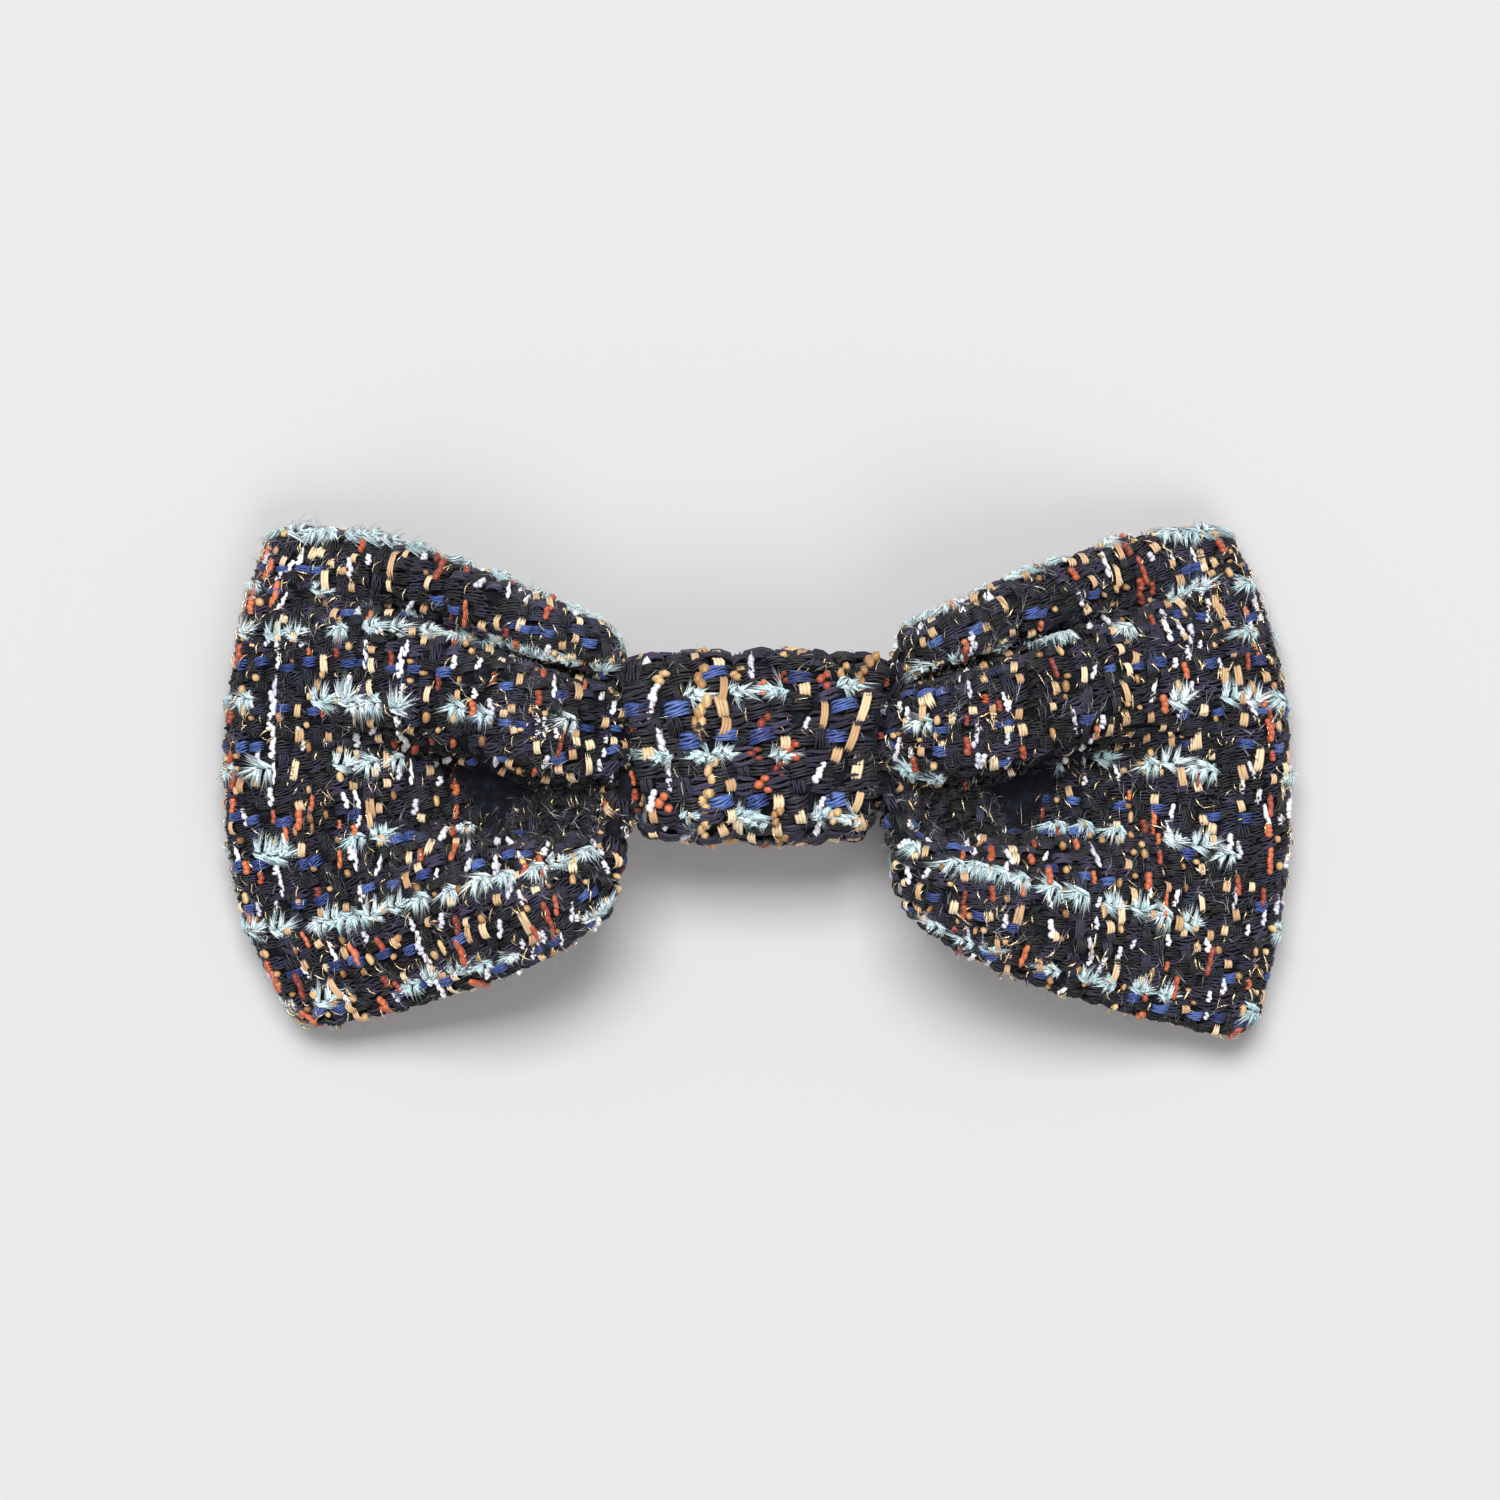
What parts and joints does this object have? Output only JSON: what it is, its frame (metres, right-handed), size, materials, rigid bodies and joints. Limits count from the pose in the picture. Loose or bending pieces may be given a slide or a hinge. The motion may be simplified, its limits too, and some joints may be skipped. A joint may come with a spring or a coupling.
{
  "type": "clip-on bow tie",
  "caption": "Pre-tied bow tie: a folded tweed loop pinched by a wrapped knot band, with a sprung clip behind the knot to grip a shirt collar.",
  "frame": {"origin": "bottom centre of the bounding box, on the surface that the tie lies on with its back down", "axes": "+X along the bow, +Y towards the wearer's chin, +Z out of the front of the tie"},
  "size_m": [0.12, 0.0563, 0.0197],
  "materials": {
    "tweed": "navy boucle tweed with royal blue, pale blue, tan, white, orange and gold yarns",
    "canvas": "unbleached interlining canvas",
    "thread": "matt navy sewing thread",
    "steel": "nickel-plated spring steel"
  },
  "bodies": {
    "bow": {"bow_loop": "tweed", "knot_band": "tweed", "bow_interlining": "canvas", "knot_interlining": "canvas", "gather_thread": "thread", "band_stitch_1": "thread", "band_stitch_2": "thread", "band_stitch_3": "thread", "band_stitch_4": "thread", "band_stitch_5": "thread", "loop_stitch_1": "thread", "loop_stitch_2": "thread", "loop_stitch_3": "thread", "clip_tack_left": "thread", "clip_tack_right": "thread", "clip_base": "steel", "clip_pin": "steel", "clip_spring": "steel"},
    "lever": {"clip_lever": "steel"}
  },
  "joints": [
    {"name": "clip_hinge", "type": "hinge", "parent": "bow", "child": "lever", "pos_m": [0.017, 0.0038, 0.0037], "axis": [0, -1, 0], "range_deg": [0, 24], "stiffness_Nm_per_rad": 0.06, "springref_deg": -45.84, "deforming": ["clip_spring"]}
  ]
}
